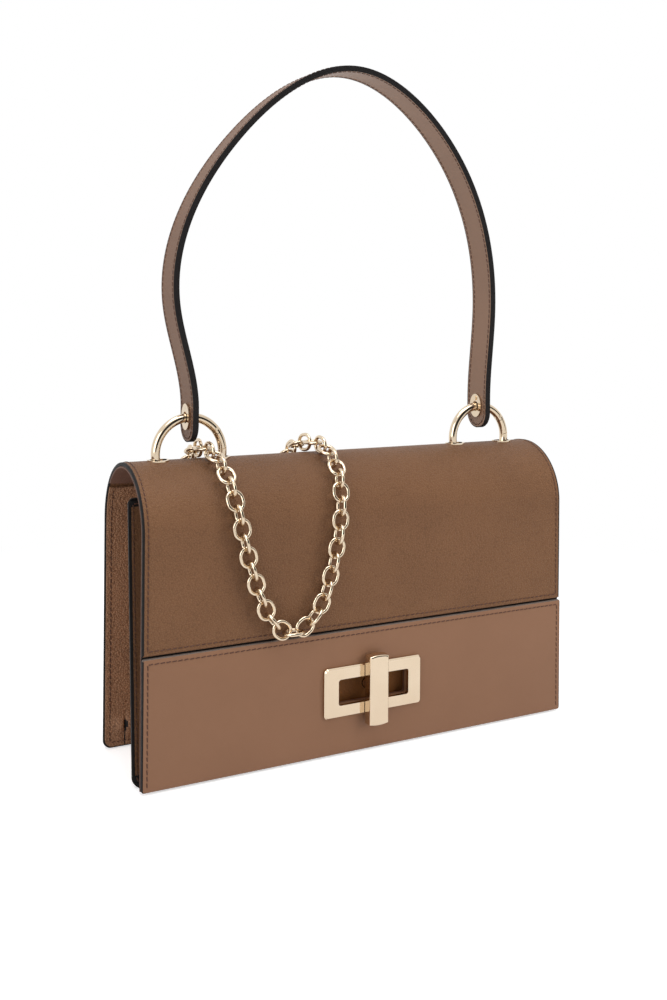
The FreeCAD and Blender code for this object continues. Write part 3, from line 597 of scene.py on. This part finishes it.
rear_lifts = [lift * mm for lift in (0.0, 0.0, 0.7, 4.2, -0.4, 4.4, 3.0, 1.6)]
front_shares = ((0.08, 0.0), (0.5, 0.0), (0.92, 0.0), (1.0, 0.1), (1.0, 0.6), (1.0, 1.0))
last_column, last_row = len(rear_shares) + len(front_shares) - 1, len(side_heights) - 1


def side_place(z, column):
    """A place on the left side wall: a height, and a column counted from its rear edge to its front one."""
    edge, back = side_edge - half_width, arch_y + side_seat
    if z > arch_z:
        back = arch_y + math.sqrt(side_seat ** 2 - (z - arch_z) ** 2)
    front = wall_y(z) + wall_hide + side_hide / 2
    rise = min(z - side_low, side_corner)
    start = side_corner - math.sqrt(side_corner ** 2 - (side_corner - rise) ** 2)
    drawn_in = min(max((drawn_top - z) / drawn_height, 0.0), 1.0)
    depth = fold_depth - drawn_depth * drawn_in
    turn = max(flange, start + least_turn)
    if column < len(rear_shares):
        x = start + rear_shares[column] * (depth - start)
        pucker = math.exp(-((z - pucker_z) / pucker_reach) ** 2)
        if z < pucker_z:
            pucker = max(pucker, pucker_below * (z - side_low) / (pucker_z - side_low))
        return Vector((edge + x, back - rear_lifts[column] * pucker, z))
    share, flange_share = front_shares[column - len(rear_shares)]
    x = depth + (turn - depth) * share + (start - turn) * flange_share
    return Vector((edge + x, back + (front - back) * share, z))


def in_painted_pinch_shade(place):
    """Whether a place on a side wall lies in the painted shade of the pinch at its fold, or of the crease
    below it.
    """
    off_x, off_z = abs(abs(place.x) - pinch_x) / pinch_shade_half_x, abs(place.z - pucker_z) / pinch_shade_half_z
    in_crease = place.z < pucker_z and off_x < pinch_crease_shade_share
    return place.y > pinch_y and (math.hypot(off_x, off_z) < 1 or in_crease)


for side, name in ((1, "left"), (-1, "right")):
    bpy.ops.mesh.primitive_grid_add(x_subdivisions=last_column, y_subdivisions=last_row, size=1.0)
    gusset = begin(name + "_side_wall")
    mesh = bmesh.from_edit_mesh(gusset.data)
    for point in mesh.verts:
        column, row = round((point.co.x + 0.5) * last_column), round((point.co.y + 0.5) * last_row)
        place = side_place(side_heights[row], column)
        point.co = Vector((side * place.x, place.y, place.z))
    bmesh.update_edit_mesh(gusset.data)
    outward()
    bpy.ops.object.mode_set(mode="OBJECT")
    shape_with(gusset, "SUBSURF", levels=2, boundary_smooth="PRESERVE_CORNERS")
    shape_with(gusset, "SOLIDIFY", thickness=side_hide, offset=0.0, material_offset_rim=1)
    round_edges(gusset, 0.4 * mm, least_angle=60.0)
    for face in gusset.data.polygons:
        # Painted highlight: the top rim's upward-facing faces keep the leather instead of edge paint, to show
        # a lit line along the top edge.
        if face.normal.z > rim_facing and face.center.z > side_rim:
            face.material_index = 0
        # Painted shade: faces in the pinch at the fold and in the crease below it take the near-black edge
        # paint.
        if in_painted_pinch_shade(face.center):
            face.material_index = 1
    dress(gusset, side_leather_painted_light, edge_paint, angle=50.0)
    seen_y = arch_y + side_seat - side_hide / 2 - proud
    x, sewn_turn = side_edge - half_width + side_row, side_corner - side_row
    flange_line = arch_line(x, seen_y - arch_y, -60, -90, 10)
    for a in turns:
        z = side_low + side_corner - sewn_turn * math.sin(a)
        flange_line.append(Vector((x + sewn_turn * (1 - math.cos(a)), seen_y, z)))
    flange_line.append(Vector((side_edge - half_width + side_row_end, seen_y, side_low + side_row)))
    flange_line = [Vector((side * p.x, p.y, p.z)) for p in flange_line]
    flange_stitches = stitch_row(name + "_flange_stitches", [flange_line], lambda p: -wrap_facing(p))
    for piece in (gusset, flange_stitches):
        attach(piece, "bag")
    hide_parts(name + "_gusset")


# Base: a leather sole between the walls, cut narrower at the back along the side walls' folds, with a stiff
# board laid on it inside.
base_low, base_hide, base_inset, board_corner = 2 * mm, 1.4 * mm, 3.5 * mm, 5 * mm
base_front, base_back = wall_y(base_low + base_hide) + base_inset, back_y - base_inset
sole_front_half, sole_back_half = 132.0 * mm, 117.7 * mm
sole_middle = (0, (base_front + base_back) / 2, base_low + base_hide / 2)
bpy.ops.mesh.primitive_cube_add(size=1.0, location=sole_middle)
sole = begin("base_sole", (2 * sole_front_half, base_back - base_front, base_hide))
pick(sole, "FACE", lambda p: p.y > base_back - tiny)
bpy.ops.transform.resize(value=(sole_back_half / sole_front_half, 1, 1), center_override=(0, 0, 0))
bpy.ops.object.mode_set(mode="OBJECT")
round_edges(sole, 0.4 * mm)
dress(sole, pebbled_hide)
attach(sole, "bag")
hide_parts("base_panel")
low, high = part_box("base_board")
bpy.ops.mesh.primitive_cube_add(size=1.0, location=(low + high) / 2)
board = begin("base_board_cover", tuple(high - low))
pick_along(board, 2)
bpy.ops.mesh.bevel(offset=board_corner, segments=6)
bpy.ops.object.mode_set(mode="OBJECT")
round_edges(board, 0.5 * mm)
dress(board, lining_calf)
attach(board, "bag")
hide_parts("base_board")


# Slip pocket: a thin leaf of lining leather with two rounded lower corners, sewn on three sides to the
# back wall's lining and open at the top.
pocket_row, pocket_row_top = 2.5 * mm, 2 * mm
low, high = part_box("slip_pocket")
bpy.ops.mesh.primitive_cube_add(size=1.0, location=(low + high) / 2)
pocket = begin("slip_pocket_leaf", tuple(high - low))
pick_along(pocket, 1, lambda p: p.z < low.z + tiny)
bpy.ops.mesh.bevel(offset=foot_corner, segments=8)
bpy.ops.object.mode_set(mode="OBJECT")
round_edges(pocket, 0.4 * mm)
dress(pocket, lining_calf)
sewn_x, sewn_z, sewn_y = high.x - pocket_row, low.z + pocket_row, low.y - proud
sewn_turn = foot_corner - pocket_row
pocket_line = [Vector((-sewn_x, sewn_y, high.z - pocket_row_top))]
for a in turns:
    x, z = sewn_turn * (1 - math.cos(a)) - sewn_x, sewn_turn * (1 - math.sin(a)) + sewn_z
    pocket_line.append(Vector((x, sewn_y, z)))
pocket_line += [Vector((-p.x, p.y, p.z)) for p in reversed(pocket_line)]
pocket_stitches = stitch_row("slip_pocket_stitches", [pocket_line], lambda p: Vector((0, -1, 0)))
for piece in (pocket, pocket_stitches):
    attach(piece, "bag")
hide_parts("slip_pocket")


# Lower flap panel: smooth, paler calf with a rounded edge, sewn over the flap below a narrow gap. A
# near-black strip set behind the gap is painted shade, and the panel's upward-facing top edge is painted a
# lighter grey as painted light.
panel_face, panel_back, panel_top = -32 * mm, -29.4 * mm, seam_z - seam_gap / 2
panel_corner, panel_round, panel_row, hem_row = 1.4 * mm, 0.7 * mm, 2.9 * mm, 2.5 * mm
paint_top, lit_top, hem_half = panel_top - 1 * mm, panel_top - 0.8 * mm, half_width - 1 * mm
facing_up, facing_sideways = 0.35, 0.15
gap_shade_strip_y, gap_shade_strip_z, gap_shade_strip_depth, gap_shade_strip_height, gap_shade_strip_end = -29.1 * mm, 69 * mm, 0.45 * mm, 12 * mm, 0.2 * mm
smooth_calf = leather("smooth_calf", (0.21, 0.106, 0.059), (0.172, 0.084, 0.045),
                      pebbles=2100.0, depth=0.00002, crease_share=0.25, rough=0.42, gloss=0.25)
panel_middle = (0, (panel_face + panel_back) / 2, (flap_hem + panel_top) / 2)
bpy.ops.mesh.primitive_cube_add(size=1.0, location=panel_middle)
panel = begin("lower_flap_panel", (2 * half_width, panel_back - panel_face, panel_top - flap_hem))
pick_along(panel, 1)
bpy.ops.mesh.bevel(offset=panel_corner, segments=5)
pick(panel, "FACE", lambda p: p.y < panel_face + tiny)
paint_unpicked(panel, 1, lambda p: p.y > panel_face + tiny and p.z < paint_top)
bpy.ops.object.mode_set(mode="OBJECT")
round_edges(panel, panel_round, segments=4)
for face in panel.data.polygons:
    if face.center.z < flap_hem + panel_round and abs(face.center.x) < hem_half:
        face.material_index = 0
    # Painted light: the top edge's upward-facing faces take a lighter grey edge paint, where the top light
    # falls on them.
    if face.normal.z > facing_up and face.center.z > lit_top:
        face.material_index = 2
    if abs(face.normal.x) > facing_sideways and face.center.z < paint_top:
        face.material_index = 1
cut(panel, lock_window())
# A lighter grey edge paint for the panel's top edge: painted light.
lit_edge_paint = leather("lit_edge_paint", (0.115, 0.088, 0.073), (0.07, 0.054, 0.046),
                    pebbles=900.0, depth=0.00003, crease_share=0.2, rough=0.5)
dress(panel, smooth_calf, edge_paint, lit_edge_paint)
# Painted shade: a near-black strip set behind the gap between the hide and the panel darkens the gap.
bpy.ops.mesh.primitive_cube_add(size=1.0, location=(0, gap_shade_strip_y, gap_shade_strip_z))
gap_shade_strip = begin("seam_gap_shade_strip", (2 * (half_width - gap_shade_strip_end), gap_shade_strip_depth, gap_shade_strip_height))
bpy.ops.object.mode_set(mode="OBJECT")
shape_with(gap_shade_strip, "BEVEL", width=0.1 * mm, segments=1)
gap_shade_strip.data.materials.append(edge_paint)
sewn_x, sewn_y = half_width - panel_row, panel_face - proud
sewn_top, sewn_low = panel_top - panel_row, flap_hem + hem_row
panel_lines = [
    [Vector((side * sewn_x, sewn_y, sewn_low)), Vector((side * sewn_x, sewn_y, sewn_top))] for side in (-1, 1)
]
panel_lines.append([Vector((-sewn_x, sewn_y, sewn_top)), Vector((sewn_x, sewn_y, sewn_top))])
panel_stitches = stitch_row("lower_flap_stitches", panel_lines, lambda p: Vector((0, -1, 0)))
for piece in (panel, gap_shade_strip, panel_stitches):
    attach(piece, "flap")
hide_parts("flap_lower_panel")
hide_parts("flap_stiffener")


# Turn lock: a bevelled brass frame screwed round the flap's window, and a bar on a spindle that turns in a
# base riveted to the front wall. All of it is polished and plated pale gold.
def plated(name, light, dark, rough):
    """Polished gold plate, faintly clouded by handling and by hairline scratches."""
    made = bpy.data.materials.new(name)
    made.use_nodes = True
    tree = made.node_tree
    surface = tree.nodes["Principled BSDF"]
    surface.inputs["Metallic"].default_value = 1.0
    place = add(tree, "TexCoord").outputs["Object"]
    cloud = add(tree, "TexNoise", {"Vector": place, "Scale": 90.0, "Detail": 3.0})
    drawn = add(tree, "Mapping", {"Vector": place, "Scale": (4.0, 4.0, 0.25)})
    hair = add(tree, "TexNoise", {"Vector": drawn.outputs[0], "Scale": 1400.0, "Detail": 2.0})
    colour = add(tree, "Mix", {0: cloud.outputs["Fac"], 6: (*light, 1.0), 7: (*dark, 1.0)}, data_type="RGBA")
    tree.links.new(colour.outputs[2], surface.inputs["Base Color"])
    worn = add(tree, "MapRange", {"Value": hair.outputs["Fac"], "From Min": 0.35, "From Max": 0.75,
                                  "To Min": rough, "To Max": rough + 0.09})
    tree.links.new(worn.outputs["Result"], surface.inputs["Roughness"])
    bump = add(tree, "Bump", {"Height": hair.outputs["Fac"], "Distance": 0.000004, "Strength": 0.35})
    tree.links.new(bump.outputs["Normal"], surface.inputs["Normal"])
    return made


pale_gold = plated("pale_gold", (0.765, 0.632, 0.475), (0.70, 0.565, 0.405), 0.07)


def plate(*names):
    """Gives metal pieces their plating."""
    for name in names:
        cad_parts[name].material_slots[0].material = pale_gold


plate("lock_frame", "lock_frame_backing", "lock_frame_screws", "lock_base", "lock_back_plate", "lock_rivets",
      "toggle_bar", "toggle_spindle", "spindle_clip")
pad_corner, pad_round, boss_clear, boss_way = 4 * mm, 1.2 * mm, 3.3 * mm, 40 * mm
low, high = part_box("lock_pad")
bpy.ops.mesh.primitive_cube_add(size=1.0, location=(low + high) / 2)
pad = begin("lock_pad_cover", tuple(high - low))
for foot in (low.z, high.z):
    pick(pad, "EDGE", lambda p: p.y > high.y - tiny and abs(p.z - foot) < tiny)
    bpy.ops.transform.translate(value=(0, wall_y(foot) - high.y, 0))
pick_along(pad, 1)
bpy.ops.mesh.bevel(offset=pad_corner, segments=6)
pick(pad, "FACE", lambda p: p.y < low.y + tiny)
bpy.ops.mesh.bevel(offset=pad_round, segments=4)
bpy.ops.object.mode_set(mode="OBJECT")
cut(pad, lock_way(boss_clear, boss_way))
pad_calf = leather("pad_calf", (0.17, 0.066, 0.018), (0.115, 0.043, 0.011),
                   pebbles=1100.0, depth=0.00008, crease_share=0.4, rough=0.5, gloss=0.2)
dress(pad, pad_calf)
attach(pad, "bag")
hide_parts("lock_pad")


# Crest hardware: plated eyelets with washers under the lining, and two rings of round wire, each with a
# gate on a pin, whose legs stand through the eyelets.
for side in ("left", "right"):
    plate(side + "_eyelets", side + "_eyelet_washers", side + "_ring", side + "_gate", side + "_gate_pin")


# Handle: a strap of two skins round a thin core, sewn along both edges, painted black at the edge and
# hung on the rings by plated holes. Its inner face is a paler, smoother skin.
strap_half, strap_lift, outer_hide, inner_hide = 10.5 * mm, 1.7 * mm, 2.0 * mm, 1.4 * mm
ring_top, ring_clear, ring_way, strap_row = 195.9 * mm, 3.95 * mm, 224 * mm, 2.1 * mm
strap_points = (
    (-101, 181.7), (-101, 195.9), (-101, 203.5), (-112.6, 260.9), (-75, 358.9), (4.5, 405.3),
    (75, 358.9), (104.6, 260.9), (101, 203.5), (101, 195.9), (101, 181.7),
)


def bent_line(points):
    """The even bend of a springy strap through its points, as places, slopes and runs along it."""
    way = np.array(points) * mm
    chord = np.concatenate([[0.0], np.cumsum(np.linalg.norm(np.diff(way, axis=0), axis=1))])
    gaps, count, steps = np.diff(chord), len(way), 80
    system, loads = np.eye(count), np.zeros((count, 2))
    for k in range(1, count - 1):
        system[k, k - 1:k + 2] = gaps[k - 1], 2 * (gaps[k - 1] + gaps[k]), gaps[k]
        loads[k] = 6 * ((way[k + 1] - way[k]) / gaps[k] - (way[k] - way[k - 1]) / gaps[k - 1])
    bends = np.linalg.solve(system, loads)
    places = []
    for k in range(count - 1):
        shares = np.linspace(0, 1, steps + 1)
        for b in shares if k == count - 2 else shares[:-1]:
            a = 1 - b
            places.append(a * way[k] + b * way[k + 1]
                          + gaps[k] ** 2 / 6 * ((a ** 3 - a) * bends[k] + (b ** 3 - b) * bends[k + 1]))
    places = np.array(places)
    runs = np.concatenate([[0.0], np.cumsum(np.linalg.norm(np.diff(places, axis=0), axis=1))])
    slopes = np.gradient(places, runs, axis=0)
    return places, slopes, runs


strap_places, strap_slopes, strap_runs = bent_line(strap_points)
strap_length = strap_runs[-1]


def on_strap(run, across, lift):
    """A place on the strap: a run from its left tip, a distance across it and a lift off its middle."""
    x, z = [np.interp(run, strap_runs, strap_places[:, k]) for k in (0, 1)]
    dx, dz = [np.interp(run, strap_runs, strap_slopes[:, k]) for k in (0, 1)]
    size = math.hypot(dx, dz)
    return Vector((x - dz / size * lift, arch_y + across, z + dx / size * lift))


def strap_facing(place, lift):
    """The direction out of the strap's outer face near a place or, for a lift below 0, of its inner one."""
    run = strap_runs[int(np.argmin(np.hypot(strap_places[:, 0] - place.x, strap_places[:, 1] - place.z)))]
    return (on_strap(run, 0.0, 1.0) - on_strap(run, 0.0, 0.0)) * (1 if lift > 0 else -1)


straight_runs = list(np.linspace(strap_half, strap_length - strap_half, 170))
tip_outs = (1.0, 0.943, 0.86, 0.76, 0.64, 0.51, 0.38, 0.25, 0.12)
across_shares = (-1.0, -0.943, -0.72, -0.37, 0.0, 0.37, 0.72, 0.943, 1.0)
tip_rows, rows_across = len(tip_outs), len(across_shares) - 1
run_rows = len(straight_runs) + 2 * tip_rows


def strap_spot(row, across):
    """Run and distance across for a row and a share of the half width; the tips are half discs."""
    end = min(row, run_rows - 1 - row)
    if end >= tip_rows:
        return straight_runs[row - tip_rows], across * strap_half
    out = tip_outs[end]
    run = strap_half * (1 - out * math.sqrt(1 - across ** 2 / 2))
    return run if row < tip_rows else strap_length - run, across * strap_half * math.sqrt(1 - out ** 2 / 2)


def strap_skin(name, lift, thickness):
    """One skin of the strap, from its outer face inwards to the middle of the strap."""
    bpy.ops.mesh.primitive_grid_add(x_subdivisions=run_rows - 1, y_subdivisions=rows_across, size=1.0)
    skin = begin(name)
    mesh = bmesh.from_edit_mesh(skin.data)
    for face in mesh.faces:
        face.material_index = 1 if any(point.is_boundary for point in face.verts) else 0
    for point in mesh.verts:
        row, column = round((point.co.x + 0.5) * (run_rows - 1)), round((point.co.y + 0.5) * rows_across)
        point.co = on_strap(*strap_spot(row, across_shares[column]), lift)
    mesh.normal_update()
    top = max(mesh.faces, key=lambda face: face.calc_center_median().z)
    turned = (top.normal.z > 0) != (lift > 0)
    bmesh.update_edit_mesh(skin.data)
    bpy.ops.mesh.select_all(action="SELECT")
    if turned:
        bpy.ops.mesh.flip_normals()
    bpy.ops.object.mode_set(mode="OBJECT")
    shape_with(skin, "SOLIDIFY", thickness=thickness, offset=-1.0)
    round_edges(skin, 0.5 * mm, segments=3)
    cut(skin, round_way(ring_clear, ring_way, (0, arch_y, ring_top), (0, math.pi / 2, 0)))
    return skin


strap_hide = leather("strap_hide", (0.185, 0.092, 0.049), (0.125, 0.06, 0.031),
                     pebbles=1300.0, depth=0.00005, crease_share=0.35, rough=0.42, gloss=0.3)
strap_inner = leather("strap_inner", (0.252, 0.138, 0.082), (0.205, 0.11, 0.064),
                      pebbles=1900.0, depth=0.00003, crease_share=0.3, rough=0.36, gloss=0.5)
outer_skin = strap_skin("handle_outer_skin", strap_lift, outer_hide)
inner_skin = strap_skin("handle_inner_skin", -strap_lift, inner_hide)
dress(outer_skin, strap_hide, edge_paint)
dress(inner_skin, strap_inner, edge_paint)
sewn_half = strap_half - strap_row
tip_turn = [math.radians(180 * k / 16) for k in range(17)]
strap_loop = [(strap_half - sewn_half * math.sin(a), -sewn_half * math.cos(a)) for a in tip_turn]
strap_loop += [(run, sewn_half) for run in straight_runs]
far_tip = strap_length - strap_half
strap_loop += [(far_tip + sewn_half * math.sin(a), sewn_half * math.cos(a)) for a in tip_turn]
strap_loop += [(run, -sewn_half) for run in reversed(straight_runs)]
strap_loop.append(strap_loop[0])
sewn_lift = strap_lift + proud
for name, lift, skin in (
    ("handle_outer_stitches", sewn_lift, outer_skin), ("handle_inner_stitches", -sewn_lift, inner_skin),
):
    sewn = [on_strap(run, across, lift) for run, across in strap_loop]
    row = stitch_row(name, [sewn], lambda p: strap_facing(p, lift))
    for piece in (skin, row):
        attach(piece, "handle")
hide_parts("handle_outer", "handle_core")
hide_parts("handle_lining")
plate("left_handle_plate", "right_handle_plate", "left_handle_washer", "right_handle_washer", "handle_screws")


# Chain strap: round wire links, each soldered shut through the next, drawn over the crest to the front
# in one loop and led down the back to two dees.
plate("chain_front", "chain_back_left", "chain_back_right")


# Chain loops: a leather tab folded round the straight bar of each dee, pressed together above it and held
# on the back wall by one rivet.
tab_x, tab_half, tab_hide, tab_top, tab_corner = 112 * mm, 5.5 * mm, 1.4 * mm, 131 * mm, 3 * mm
bar_y, bar_z, neck_in, neck_low, neck_high = 43.6 * mm, 113 * mm, 0.5 * mm, 2 * mm, 5 * mm
inner_ply, outer_ply = back_y + tab_hide / 2, back_y + 1.5 * tab_hide
loop_y = 2 * bar_y - inner_ply
for side, name in ((-1, "left"), (1, "right")):
    bpy.ops.mesh.primitive_plane_add(size=1.0, location=(side * tab_x, inner_ply, (tab_top + bar_z) / 2),
                                     rotation=(-math.pi / 2, 0, 0))
    tab = begin(name + "_chain_tab_leaf", (2 * tab_half, tab_top - bar_z, 1.0))
    pick(tab, "VERT", lambda p: p.z > tab_top - tiny)
    bpy.ops.mesh.bevel(offset=tab_corner, segments=6, affect="VERTICES")
    pick(tab, "EDGE", lambda p: p.z < bar_z + tiny)
    bpy.ops.mesh.spin(steps=12, angle=math.pi, center=(0, bar_y, bar_z), axis=(1, 0, 0))
    for y, z in ((loop_y - neck_in, bar_z + neck_low), (outer_ply, bar_z + neck_high), (outer_ply, tab_top)):
        bpy.ops.mesh.extrude_region_move()
        mesh = bmesh.from_edit_mesh(tab.data)
        for point in mesh.verts:
            if point.select:
                point.co.y, point.co.z = y, z
        bmesh.update_edit_mesh(tab.data)
    pick(tab, "VERT", lambda p: p.z > tab_top - tiny and p.y > outer_ply - 10 * tiny)
    bpy.ops.mesh.bevel(offset=tab_corner, segments=6, affect="VERTICES")
    outward()
    bpy.ops.object.mode_set(mode="OBJECT")
    shape_with(tab, "SOLIDIFY", thickness=tab_hide, offset=0.0, material_offset_rim=1)
    round_edges(tab, 0.3 * mm, least_angle=60.0)
    dress(tab, pebbled_hide, edge_paint, angle=50.0)
    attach(tab, "bag")
    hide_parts(name + "_chain_tab")
    plate(name + "_chain_dee")
plate("chain_tab_rivets")

bpy.data.objects.remove(stitch)
